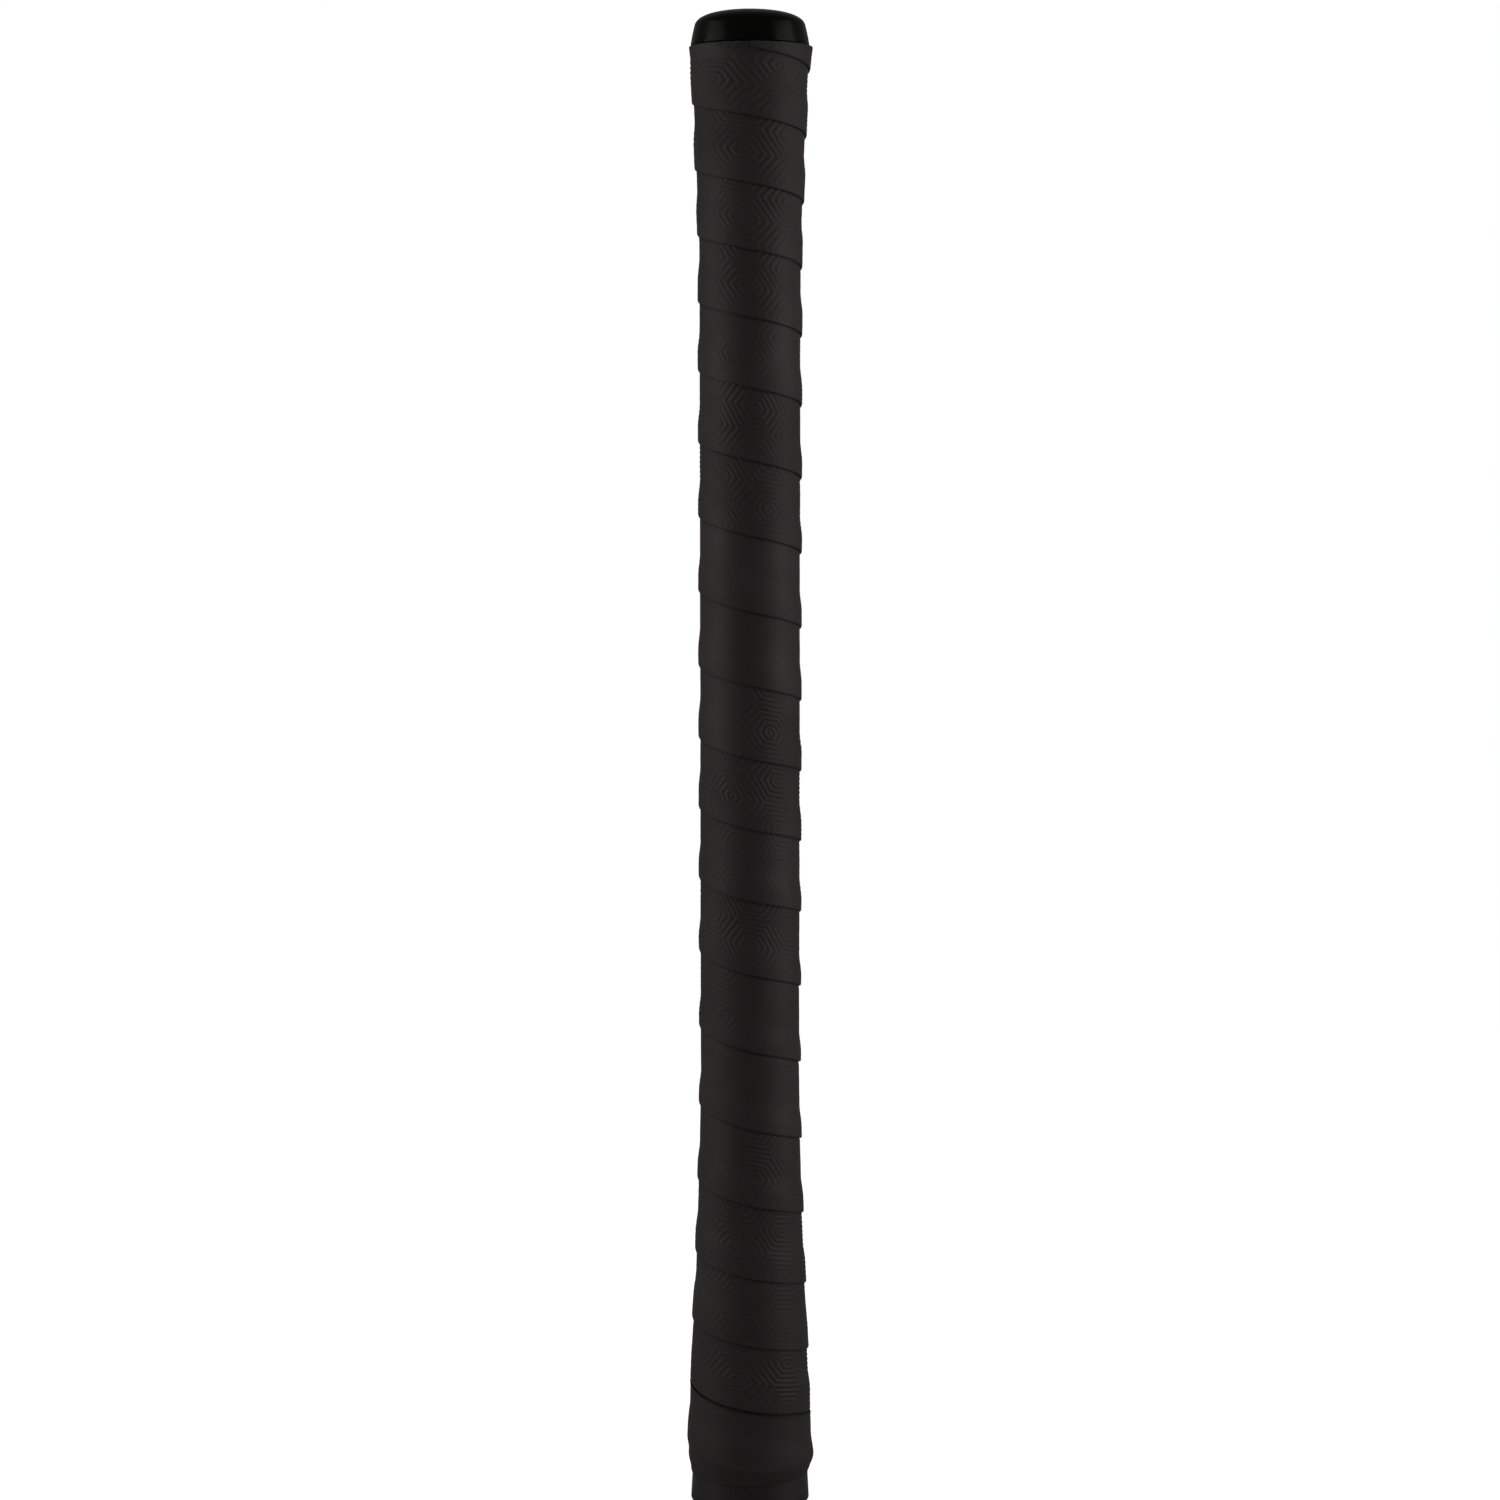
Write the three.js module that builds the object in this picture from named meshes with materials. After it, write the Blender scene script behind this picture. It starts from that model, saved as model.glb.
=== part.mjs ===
// Handle end of a hockey-type stick, wound with cushioned grip tape and closed by a push-in end cap.
// Millimetres. The handle's axis is Z: z = 0 is the sawn lower face and the domed cap is on top.
// The front of the handle faces -Y. Turns of tape are counted from the top, and a turn number that
// is whole lies at the front, a quarter later at +X, a half later at the back.
import * as THREE from "three";

// ---- Driving dimensions -------------------------------------------------------------------------
const SIDES = 16; // flats round the handle, shared by every piece so that layers lie face to face

const SHAFT_TOP = 437.6; // sawn face to the top of the hollow shaft
const CAP_SEAT = 438.4; // underside of the cap
const GRIP_RADIUS = 13.3; // bare shaft through the straight part of the grip
const SHAFT_WALL = 2.8;
const SWELL = 4.8; // how much the shaft's radius grows towards the sawn face
const SWELL_LENGTH = 135;
const SWELL_POWER = 1.5;
const BELLY = { height: 0.5, from: 15, to: 75 }; // slight fullness part way down the swell
const FLARE_START = 380; // the butt flare under the cap
const FLARE_LENGTH = 57;
const FLARE_CONE = 2.1;
const FLARE_LIP = 0.7;
const FLARE_LIP_POWER = 8;

const FIT = 0.3; // clearance between rigid pieces that touch
const FILM_GAP = 0.1; // clearance between the thin wound layers

const TAPE_WIDTH = 30;
const FIRST_SEAM = 436.3; // height of the uppermost seam at the front
const PITCH = 21.26; // mean advance of the winding
const TURNS = 19; // seams below the first one
const HAND_WANDER = [7.3, 3.1, -0.2, 1.3, -1.1]; // sine terms: a hand-wound tape drifts off an even pitch
const TAPE_TOP = 438.1; // level trim under the cap
const TAPE_BOTTOM = 12.6; // level trim under the finishing tape
const WIND_START = -1; // turn numbers where the trimmed tape runs out
const WIND_END = 20.25;

const TAPE_THICK = 1.6; // from the shaft to the face of the tape
const COVER_THICK = 0.5;
const FACE_EDGE = 0.45; // height of the visible step at a seam
const RIDE_GAP = 0.15; // between a turn and the turn it rides over
const BEVEL = 8.5; // the tape is skived over this width along its hidden edge
const FEATHER = 0.3; // height of the feathered edge above the shaft
const RAMP = 3; // width over which a turn comes down off the one beneath
const SKIVE_FROM = 17.4; // the last turns are skived thinner, so that the finishing tape lies flat
const SKIVE_TO = 18.5;
const SKIVE_SCALE = 0.65;
const CUSHION_TUCK = 5; // how far the cushion reaches over the turn beneath

const ADHESIVE = { from: 15.5, to: 25.5, thick: 0.15 };

// The finishing tape goes round once, from the back to the back. Its upper edge follows the last seam
// on the front, then crosses the last turn at the back to come up to the seam above.
const FINISH = {
  bottom: 8,
  rampFrom: 8.7,
  rampTo: 12.2,
  rampLead: 0.3, // the outside reaches its full height this far below the inside
  thick: 0.25,
  foot: 0.25,
  lift: 1.8,
  gap: 0.35,
};
const FINISH_START = 18.5;
const FINISH_END = 19.495;
const FINISH_SEAM_FROM = 18.75; // left side, where it starts to follow the seam
const CROSS_FROM = 19.4;
const CROSS_TO = 19.7;

const CAP = {
  height: 10.5,
  rim: 17.4,
  rimInset: 0.4,
  rimRise: 0.5,
  sideInset: 0.4, // how far the side's curve is pulled in half way up
  sideRise: 6.2,
  shoulder: 16.2,
  shoulderInset: 1, // pull point of the shoulder's curve, from the shoulder and from the top
  shoulderDrop: 1.2,
  crown: 6.5,
  crownDrop: 0.35,
};
const STEM = { radius: 5.8, length: 27, ribRadius: 6.05, ribs: 4, ribPitch: 6, ribHalf: 1.1, tip: 1.2 };
const PLUG = { length: 33, socketRadius: 6.35, socketDepth: 29, chamfer: 1 };
const SLEEVE_START = 387; // the build-up sleeve begins where the flare is thick enough to mould

const SHAFT_STEPS = 18; // straight lengths along the curved part of the shaft
const SLEEVE_STEPS = 6;
const CAP_SIDE_STEPS = 3;
const CAP_SHOULDER_STEPS = 6;
const LEAST_STRIP = 0.8; // narrowest strip of tape kept at either end of the winding

// ---- Materials ----------------------------------------------------------------------------------
const finish = (color, roughness, metalness = 0) =>
  new THREE.MeshStandardMaterial({ color, roughness, metalness });
const COMPOSITE = finish(0x232022, 0.55);
const FOAM = finish(0xcdbf9a, 0.95);
const MOULDED = finish(0x0c0d0b, 0.2);
const NYLON = finish(0x4a4c4f, 0.6);
const RUBBER = finish(0x2b2829, 0.8);
const FELT = finish(0x55504c, 0.95);
const FILM = finish(0xd8d2c0, 0.4);
const COVER = finish(0x2a2728, 0.7);
const VINYL = finish(0x262324, 0.55);

// ---- Shared shapes ------------------------------------------------------------------------------
const TAU = 2 * Math.PI;

// Radius of the surface that the tape is wound on, at height z.
function windRadius(z) {
  const swell = Math.max(0, 1 - z / SWELL_LENGTH);
  const acrossBelly = THREE.MathUtils.clamp((z - BELLY.from) / (BELLY.to - BELLY.from), 0, 1);
  const belly = BELLY.height * Math.sin(Math.PI * acrossBelly) ** 2;
  const flare = Math.max(0, (z - FLARE_START) / FLARE_LENGTH);
  return (
    GRIP_RADIUS +
    SWELL * swell ** SWELL_POWER +
    belly +
    FLARE_CONE * flare +
    FLARE_LIP * flare ** FLARE_LIP_POWER
  );
}

// Heights from one level to another in even steps.
function levels(from, to, steps) {
  return Array.from({ length: steps + 1 }, (_, i) => from + ((to - from) * i) / steps);
}

function named(name, geometry, material) {
  const mesh = new THREE.Mesh(geometry, material);
  mesh.name = name;
  return mesh;
}

// A turned piece: the profile is a list of [radius, z] that runs upwards on the outside.
function turned(name, profile, material) {
  const points = profile.map(([radius, z]) => new THREE.Vector2(radius, z));
  const geometry = new THREE.LatheGeometry(points, SIDES).rotateX(Math.PI / 2);
  return named(name, geometry, material);
}

// A strip wound round the axis. Each station is { turn, outline }, its outline a list of [radius, z]
// that runs up the outside and down the inside. Points that fall together are merged, so a station
// may narrow to a feathered edge.
function wound(name, stations, material) {
  const positions = [];
  const seen = new Map();
  const index = [];

  const vertex = (turn, [radius, z]) => {
    const place = [radius * Math.sin(TAU * turn), -radius * Math.cos(TAU * turn), z];
    const key = place.map((value) => value.toFixed(3)).join();
    if (!seen.has(key)) {
      seen.set(key, positions.length / 3);
      positions.push(...place);
    }
    return seen.get(key);
  };
  const triangle = (a, b, c) => {
    if (a !== b && b !== c && c !== a) index.push(a, b, c);
  };
  const endFace = (ring, outline, facesBack) => {
    const kept = ring.map((v, i) => [v, outline[i]]).filter(([v], i) => v !== ring.at(i - 1));
    const contour = kept.map(([, [radius, z]]) => new THREE.Vector2(radius, z));
    for (const [a, b, c] of THREE.ShapeUtils.triangulateShape(contour, [])) {
      const [u, v, w] = [kept[a][0], kept[b][0], kept[c][0]];
      if (facesBack) triangle(u, v, w);
      else triangle(w, v, u);
    }
  };

  const rings = stations.map(({ turn, outline }) => outline.map((point) => vertex(turn, point)));
  for (let i = 0; i + 1 < rings.length; i++) {
    const here = rings[i];
    const next = rings[i + 1];
    for (let j = 0; j < here.length; j++) {
      const k = (j + 1) % here.length;
      triangle(here[j], next[j], next[k]);
      triangle(here[j], next[k], here[k]);
    }
  }
  endFace(rings[0], stations[0].outline, true);
  endFace(rings.at(-1), stations.at(-1).outline, false);

  const geometry = new THREE.BufferGeometry();
  geometry.setAttribute("position", new THREE.Float32BufferAttribute(positions, 3));
  geometry.setIndex(index);
  geometry.computeVertexNormals();
  return named(name, geometry, material);
}

// ---- The winding --------------------------------------------------------------------------------
const HELIX_ANGLE = Math.atan(PITCH / (TAU * (GRIP_RADIUS + TAPE_THICK)));
const AXIAL_WIDTH = TAPE_WIDTH / Math.cos(HELIX_ANGLE);

// Height of a seam: the lower edge of the turn above it. It falls as the turn number grows.
function seamHeight(turn) {
  const wander = HAND_WANDER.reduce(
    (sum, size, i) => sum + size * Math.sin(((i + 1) * Math.PI * turn) / TURNS),
    0,
  );
  return FIRST_SEAM - PITCH * turn + wander;
}

const lowerEdge = (turn) => seamHeight(turn + 1);
const overlap = (turn) => AXIAL_WIDTH - (lowerEdge(turn) - lowerEdge(turn + 1));

function thickness(turn) {
  const skived = THREE.MathUtils.smoothstep(turn, SKIVE_FROM, SKIVE_TO);
  return TAPE_THICK * THREE.MathUtils.lerp(1, SKIVE_SCALE, skived);
}

// Value at u of a chain of [u, value] with rising u.
function along(chain, u) {
  const last = chain.length - 1;
  const i = Math.max(0, Math.min(last - 1, chain.findIndex(([next]) => next > u) - 1));
  const start = u >= chain[last][0] ? last - 1 : i;
  const [u0, v0] = chain[start];
  const [u1, v1] = chain[start + 1];
  return v0 + ((v1 - v0) * (u - u0)) / (u1 - u0);
}

// Heights above the shaft of the tape's face, its chain of points running up from its lower edge.
function coverOutside(turn) {
  const over = overlap(turn);
  return [
    [0, thickness(turn + 1) + RIDE_GAP + FACE_EDGE],
    [over, thickness(turn) + FACE_EDGE],
    [over + RAMP, thickness(turn)],
    [AXIAL_WIDTH - BEVEL, thickness(turn)],
    [AXIAL_WIDTH, FEATHER],
  ];
}

function coverInside(turn) {
  const flat = thickness(turn) - COVER_THICK;
  return [
    [0, thickness(turn + 1) + RIDE_GAP],
    [overlap(turn) + RAMP, flat],
    [AXIAL_WIDTH - BEVEL, flat],
    [AXIAL_WIDTH, FEATHER],
  ];
}

function cushionChains(turn) {
  const over = overlap(turn);
  const rest = ADHESIVE.thick + 2 * FILM_GAP;
  const face = thickness(turn) - COVER_THICK - FILM_GAP;
  const tuck = over - CUSHION_TUCK;
  const below = along(coverOutside(turn + 1), AXIAL_WIDTH - CUSHION_TUCK);
  const edge = (below + along(coverInside(turn), tuck)) / 2;
  const taper = (BEVEL * (face - rest)) / (thickness(turn) - COVER_THICK - FEATHER);
  const top = AXIAL_WIDTH - BEVEL + taper;
  const outside = [
    [tuck, edge],
    [over + RAMP, face],
    [AXIAL_WIDTH - BEVEL, face],
    [top, rest],
  ];
  const inside = [
    [tuck, edge],
    [over + RAMP, rest],
    [top, rest],
  ];
  return [outside, inside];
}

function adhesiveChains() {
  const { from, to, thick } = ADHESIVE;
  const outside = [
    [from, FILM_GAP + thick],
    [to, FILM_GAP + thick],
  ];
  const inside = [
    [from, FILM_GAP],
    [to, FILM_GAP],
  ];
  return [outside, inside];
}

// One layer of the tape: chains(turn) gives its outer and inner chains, which are cut off at the
// level trims. The layer's run ends where a trim leaves nothing of it.
function layerStations(chains) {
  const stations = [];
  for (let step = WIND_START * SIDES; step <= WIND_END * SIDES; step++) {
    const turn = step / SIDES;
    const low = lowerEdge(turn);
    const [outside, inside] = chains(turn);
    const from = Math.max(outside[0][0], TAPE_BOTTOM - low);
    const to = Math.min(outside.at(-1)[0], TAPE_TOP - low);
    if (to - from < LEAST_STRIP) continue;
    const cut = (chain) =>
      chain.map(([u]) => {
        const kept = Math.min(to, Math.max(from, u));
        const z = low + kept;
        return [windRadius(z) + along(chain, kept), z];
      });
    stations.push({ turn, outline: [...cut(outside), ...cut(inside).reverse()] });
  }
  return stations;
}

// ---- Pieces -------------------------------------------------------------------------------------
function shaftShell() {
  const heights = [...levels(0, SWELL_LENGTH, SHAFT_STEPS), SHAFT_TOP];
  const outside = heights.map((z) => [Math.min(windRadius(z), windRadius(0)), z]);
  outside[outside.length - 1][0] = GRIP_RADIUS;
  const inside = outside.map(([radius, z]) => [radius - SHAFT_WALL, z]).reverse();
  return turned("shaft_shell", [...outside, ...inside, outside[0]], COMPOSITE);
}

function shaftCore() {
  const top = SHAFT_TOP - PLUG.length - FIT;
  const heights = [...levels(0, SWELL_LENGTH, SHAFT_STEPS), top];
  const side = heights.map((z) => [windRadius(Math.min(z, SWELL_LENGTH)) - SHAFT_WALL - FIT, z]);
  return turned("shaft_core", [[0, 0], ...side, [0, top]], FOAM);
}

function buttPlug() {
  const radius = GRIP_RADIUS - SHAFT_WALL - FIT;
  const bottom = SHAFT_TOP - PLUG.length;
  const floor = SHAFT_TOP - PLUG.socketDepth;
  const profile = [
    [0, bottom],
    [radius - PLUG.chamfer, bottom],
    [radius, bottom + PLUG.chamfer],
    [radius, SHAFT_TOP],
    [PLUG.socketRadius, SHAFT_TOP],
    [PLUG.socketRadius, floor],
    [0, floor],
  ];
  return turned("butt_plug", profile, NYLON);
}

function buttSleeve() {
  const bore = GRIP_RADIUS + FILM_GAP;
  const heights = levels(SLEEVE_START, SHAFT_TOP, SLEEVE_STEPS);
  const outside = heights.map((z) => [windRadius(z), z]);
  return turned(
    "butt_flare_sleeve",
    [[bore, SLEEVE_START], ...outside, [bore, SHAFT_TOP], [bore, SLEEVE_START]],
    RUBBER,
  );
}

// Push-in cap: a shallow dome with a slightly flared side, and a ribbed stem for the plug's socket.
function endCap() {
  const top = CAP_SEAT + CAP.height;
  const ribs = [];
  for (let i = 0; i < STEM.ribs; i++) {
    const z = CAP_SEAT - STEM.length + STEM.tip + STEM.ribPitch * (i + 0.5);
    ribs.push([STEM.radius, z - STEM.ribHalf], [STEM.ribRadius, z], [STEM.radius, z + STEM.ribHalf]);
  }
  const side = new THREE.QuadraticBezierCurve(
    new THREE.Vector2(CAP.rim, CAP_SEAT + CAP.rimRise),
    new THREE.Vector2(CAP.rim - CAP.sideInset, CAP_SEAT + CAP.sideRise / 2),
    new THREE.Vector2(CAP.shoulder, CAP_SEAT + CAP.sideRise),
  );
  const shoulder = new THREE.QuadraticBezierCurve(
    new THREE.Vector2(CAP.shoulder, CAP_SEAT + CAP.sideRise),
    new THREE.Vector2(CAP.shoulder - CAP.shoulderInset, top - CAP.shoulderDrop),
    new THREE.Vector2(CAP.crown, top - CAP.crownDrop),
  );
  const sidePoints = side.getPoints(CAP_SIDE_STEPS);
  const shoulderPoints = shoulder.getPoints(CAP_SHOULDER_STEPS).slice(1);
  const curve = [...sidePoints, ...shoulderPoints].map(({ x, y }) => [x, y]);
  const profile = [
    [0, CAP_SEAT - STEM.length],
    [STEM.radius - STEM.tip, CAP_SEAT - STEM.length],
    ...ribs,
    [STEM.radius, CAP_SEAT],
    [CAP.rim - CAP.rimInset, CAP_SEAT],
    ...curve,
    [0, top],
  ];
  return turned("end_cap", profile, MOULDED);
}

// Upper edge of the finishing tape. Each place round the handle is read as one turn number, which
// runs from the left side, over the front and the back, to the left side again.
function finishTop(turn) {
  const place = turn < FINISH_SEAM_FROM ? turn + 1 : turn;
  const climb = THREE.MathUtils.smoothstep(place, CROSS_FROM, CROSS_TO);
  return THREE.MathUtils.lerp(seamHeight(place), seamHeight(place - 1), climb) - FINISH.gap;
}

function finishingTape() {
  const stations = [];
  for (let i = 0; i <= SIDES; i++) {
    const turn = Math.min(FINISH_START + i / SIDES, FINISH_END);
    const top = finishTop(turn);
    const inside = [
      [FINISH.bottom, FILM_GAP],
      [FINISH.rampFrom, FILM_GAP],
      [FINISH.rampTo, FINISH.lift],
      [top, FINISH.lift],
    ];
    const outside = [
      [FINISH.bottom, FILM_GAP + FINISH.foot],
      [FINISH.rampTo - FINISH.rampLead, FINISH.lift + FINISH.thick],
      [top, FINISH.lift + FINISH.thick],
    ];
    const place = ([z, height]) => [windRadius(z) + height, z];
    stations.push({ turn, outline: [...outside.map(place), ...inside.reverse().map(place)] });
  }
  return wound("finishing_tape", stations, VINYL);
}

// ---- Assembly -----------------------------------------------------------------------------------
const handle = new THREE.Group();
handle.add(shaftShell(), shaftCore(), buttPlug(), buttSleeve());
handle.add(wound("adhesive_strip", layerStations(adhesiveChains), FILM));
handle.add(wound("cushion_backing", layerStations(cushionChains), FELT));
handle.add(wound("grip_cover", layerStations((turn) => [coverOutside(turn), coverInside(turn)]), COVER));
handle.add(finishingTape());

const cap = new THREE.Group();
cap.add(endCap());

const part = new THREE.Group();
part.add(handle, cap);

export default part;
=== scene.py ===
"""Looks of a stick handle end wound with cushioned grip tape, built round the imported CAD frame.

Lengths are worked out in millimetres, as in the CAD, and turned to metres when a mesh is made.
Turns of tape are counted from the top: a whole turn number is the front (-Y), a quarter later +X.
"""

import math

import bpy
import numpy as np
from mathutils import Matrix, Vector


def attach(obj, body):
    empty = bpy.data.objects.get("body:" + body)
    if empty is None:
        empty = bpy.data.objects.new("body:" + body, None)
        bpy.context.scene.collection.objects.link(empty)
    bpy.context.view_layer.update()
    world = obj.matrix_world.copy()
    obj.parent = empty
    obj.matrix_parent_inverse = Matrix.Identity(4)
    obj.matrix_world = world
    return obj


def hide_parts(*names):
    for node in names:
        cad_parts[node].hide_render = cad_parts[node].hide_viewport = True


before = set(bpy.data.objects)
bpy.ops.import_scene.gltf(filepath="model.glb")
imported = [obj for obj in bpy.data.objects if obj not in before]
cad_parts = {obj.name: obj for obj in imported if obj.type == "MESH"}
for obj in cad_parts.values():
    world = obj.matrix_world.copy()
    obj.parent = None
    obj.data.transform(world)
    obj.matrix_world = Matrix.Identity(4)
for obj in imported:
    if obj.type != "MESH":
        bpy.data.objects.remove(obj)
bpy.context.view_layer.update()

MM = 0.001
TAU = 2 * math.pi

# ---- Dimensions shared with the CAD, in millimetres ------------------------------------------------
SHAFT_TOP = 437.6
CAP_SEAT = 438.4
GRIP_RADIUS = 13.3
SHAFT_WALL = 2.8
SWELL, SWELL_LENGTH, SWELL_POWER = 4.8, 135.0, 1.5
BELLY, BELLY_FROM, BELLY_TO = 0.5, 15.0, 75.0
FLARE_START, FLARE_LENGTH = 380.0, 57.0
FLARE_CONE, FLARE_LIP, FLARE_LIP_POWER = 2.1, 0.7, 8
FIT = 0.3
TAPE_WIDTH = 30.0
FIRST_SEAM, PITCH, TURNS = 436.3, 21.26, 19
HAND_WANDER = (7.3, 3.1, -0.2, 1.3, -1.1)
TAPE_TOP, TAPE_BOTTOM = 438.1, 12.6
WIND_START, WIND_END = -1.0, 20.25
TAPE_THICK, COVER_THICK, FACE_EDGE, RIDE_GAP = 1.6, 0.5, 0.45, 0.15
BEVEL, FEATHER, RAMP = 8.5, 0.3, 3.0
CUSHION_TUCK = 5.0
LEAST_STRIP = 0.8
SKIVE_FROM, SKIVE_TO, SKIVE_SCALE = 17.4, 18.5, 0.65
ADHESIVE_FROM, ADHESIVE_TO, ADHESIVE_THICK = 15.5, 25.5, 0.15
FILM_GAP = 0.1
CAP_HEIGHT, CAP_RIM, CAP_SHOULDER, CAP_CROWN = 10.5, 17.4, 16.2, 6.5
CAP_SIDE_RISE, CAP_SHOULDER_DROP, CAP_CROWN_DROP = 6.2, 1.2, 0.35
CAP_RIM_RISE, CAP_SIDE_INSET, CAP_SHOULDER_INSET = 0.5, 0.4, 1
STEM_RADIUS, STEM_LENGTH, STEM_RIB_RADIUS, STEM_TIP = 5.8, 27.0, 6.05, 1.2
STEM_RIBS, STEM_RIB_PITCH, STEM_RIB_HALF = 4, 6.0, 1.1
PLUG_LENGTH, SOCKET_RADIUS, SOCKET_DEPTH = 33.0, 6.35, 29.0
SLEEVE_START = 387.0
FINISH_BOTTOM, FINISH_GAP = 8.0, 0.35
FINISH_SEAM_FROM, CROSS_FROM, CROSS_TO = 18.75, 19.4, 19.7

# ---- Numbers of the winding ------------------------------------------------------------------------
HELIX_ANGLE = math.atan(PITCH / (TAU * (GRIP_RADIUS + TAPE_THICK)))
AXIAL_WIDTH = TAPE_WIDTH / math.cos(HELIX_ANGLE)


def smooth(x, low, high):
    """0 below low, 1 above high, and an S curve between."""
    t = np.clip((np.asarray(x, float) - low) / (high - low), 0, 1)
    return t * t * (3 - 2 * t)


def soft_noise(x, y, seed):
    """Smooth value noise from -1 to 1, with one cell to a unit, repeating after 64 cells."""
    table = np.random.default_rng(seed).uniform(-1, 1, (64, 64))
    x, y = np.broadcast_arrays(np.asarray(x, float), np.asarray(y, float))
    x0, y0 = np.floor(x).astype(int), np.floor(y).astype(int)
    tx, ty = smooth(x - x0, 0, 1), smooth(y - y0, 0, 1)
    low = table[x0 % 64, y0 % 64] * (1 - tx) + table[(x0 + 1) % 64, y0 % 64] * tx
    high = table[x0 % 64, (y0 + 1) % 64] * (1 - tx) + table[(x0 + 1) % 64, (y0 + 1) % 64] * tx
    return low * (1 - ty) + high * ty


def wind_radius(z):
    """Radius of the surface that the tape is wound on."""
    z = np.asarray(z, float)
    swell = np.clip(1 - z / SWELL_LENGTH, 0, None)
    belly = np.sin(math.pi * np.clip((z - BELLY_FROM) / (BELLY_TO - BELLY_FROM), 0, 1)) ** 2
    flare = np.clip((z - FLARE_START) / FLARE_LENGTH, 0, None)
    return (
        GRIP_RADIUS
        + SWELL * swell**SWELL_POWER
        + BELLY * belly
        + FLARE_CONE * flare
        + FLARE_LIP * flare**FLARE_LIP_POWER
    )


def seam_height(turn):
    """Height of a seam, the lower edge of the turn above it."""
    turn = np.asarray(turn, float)
    wander = sum(a * np.sin((i + 1) * math.pi * turn / TURNS) for i, a in enumerate(HAND_WANDER))
    return FIRST_SEAM - PITCH * turn + wander


def lower_edge(turn):
    return seam_height(turn + 1)


def overlap(turn):
    """How far a turn reaches down over the one below it."""
    return AXIAL_WIDTH - (lower_edge(turn) - lower_edge(turn + 1))


def thickness(turn):
    return TAPE_THICK * (1 + (SKIVE_SCALE - 1) * smooth(turn, SKIVE_FROM, SKIVE_TO))


# ---- Meshes ----------------------------------------------------------------------------------------
def new_object(name, vertices, loops, counts, sharp_deg):
    """A smooth-shaded mesh object from arrays: points in mm, corner indices, corners of each face."""
    mesh = bpy.data.meshes.new(name)
    mesh.vertices.add(len(vertices))
    mesh.vertices.foreach_set("co", (np.asarray(vertices, np.float64) * MM).astype(np.float32).ravel())
    mesh.loops.add(len(loops))
    mesh.loops.foreach_set("vertex_index", np.asarray(loops, np.int32))
    mesh.polygons.add(len(counts))
    starts = np.concatenate([[0], np.cumsum(counts)[:-1]]).astype(np.int32)
    mesh.polygons.foreach_set("loop_start", starts)
    mesh.polygons.foreach_set("use_smooth", np.ones(len(counts), bool))
    mesh.update(calc_edges=True)
    mesh.validate()
    mesh.set_sharp_from_angle(angle=math.radians(sharp_deg))
    obj = bpy.data.objects.new(name, mesh)
    bpy.context.scene.collection.objects.link(obj)
    return obj


def add_attribute(obj, name, values):
    attribute = obj.data.attributes.new(name, "FLOAT", "POINT")
    attribute.data.foreach_set("value", np.asarray(values, np.float32).ravel())


def revolve(name, profile, steps=192, sharp_deg=40):
    """A turned piece. profile is a list of (radius, z) that runs up the outside; a radius of 0 is a
    pole, and a profile with no pole closes on itself."""
    steps = steps
    profile = np.array(profile, float)
    angle = TAU * np.arange(steps) / steps
    vertices, rings = [], []
    for radius, z in profile:
        start = len(vertices)
        if radius == 0:
            vertices.append((0.0, 0.0, z))
            rings.append([start] * steps)
            continue
        for a in angle:
            vertices.append((radius * math.sin(a), -radius * math.cos(a), z))
        rings.append(range(start, start + steps))
    closes = profile[0, 0] != 0
    pairs = list(zip(rings, rings[1:])) + ([(rings[-1], rings[0])] if closes else [])
    loops, counts = [], []
    for here, above in pairs:
        for i in range(steps):
            j = (i + 1) % steps
            face = list(dict.fromkeys((here[i], here[j], above[j], above[i])))
            loops += face
            counts.append(len(face))
    return new_object(name, vertices, loops, counts, sharp_deg)


def ribbon(name, turns, radius, height, sharp_deg=50):
    """A strip wound round the axis. radius and height are arrays of stations by section points,
    and each section runs up the outside and down the inside."""
    stations, points = radius.shape
    angle = TAU * turns[:, None]
    vertices = np.stack(
        [radius * np.sin(angle), -radius * np.cos(angle), height], axis=-1
    ).reshape(-1, 3)
    i = np.arange(stations - 1)[:, None] * points
    j = np.arange(points)[None, :]
    k = (j + 1) % points
    quads = np.stack([i + j, i + points + j, i + points + k, i + k], axis=-1).reshape(-1)
    first = np.arange(points)
    last = (stations - 1) * points + np.arange(points)[::-1]
    loops = np.concatenate([quads, first, last])
    counts = np.concatenate([np.full(len(quads) // 4, 4), [points, points]])
    return new_object(name, vertices, loops, counts, sharp_deg)


def curve_points(start, control, end, count):
    """A quadratic curve as a list of points."""
    t = np.linspace(0, 1, count)[:, None]
    a, b, c = (np.array(p, float) for p in (start, control, end))
    return [tuple(p) for p in (1 - t) ** 2 * a + 2 * t * (1 - t) * b + t**2 * c]


def rounded(corner_before, corner, corner_after, radius, count=6):
    """The corner of an outline turned into a curve that starts and ends radius away from it."""
    before, at, after = (np.array(p, float) for p in (corner_before, corner, corner_after))
    start = at + (before - at) / np.linalg.norm(before - at) * radius
    end = at + (after - at) / np.linalg.norm(after - at) * radius
    return curve_points(start, at, end, count)


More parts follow.
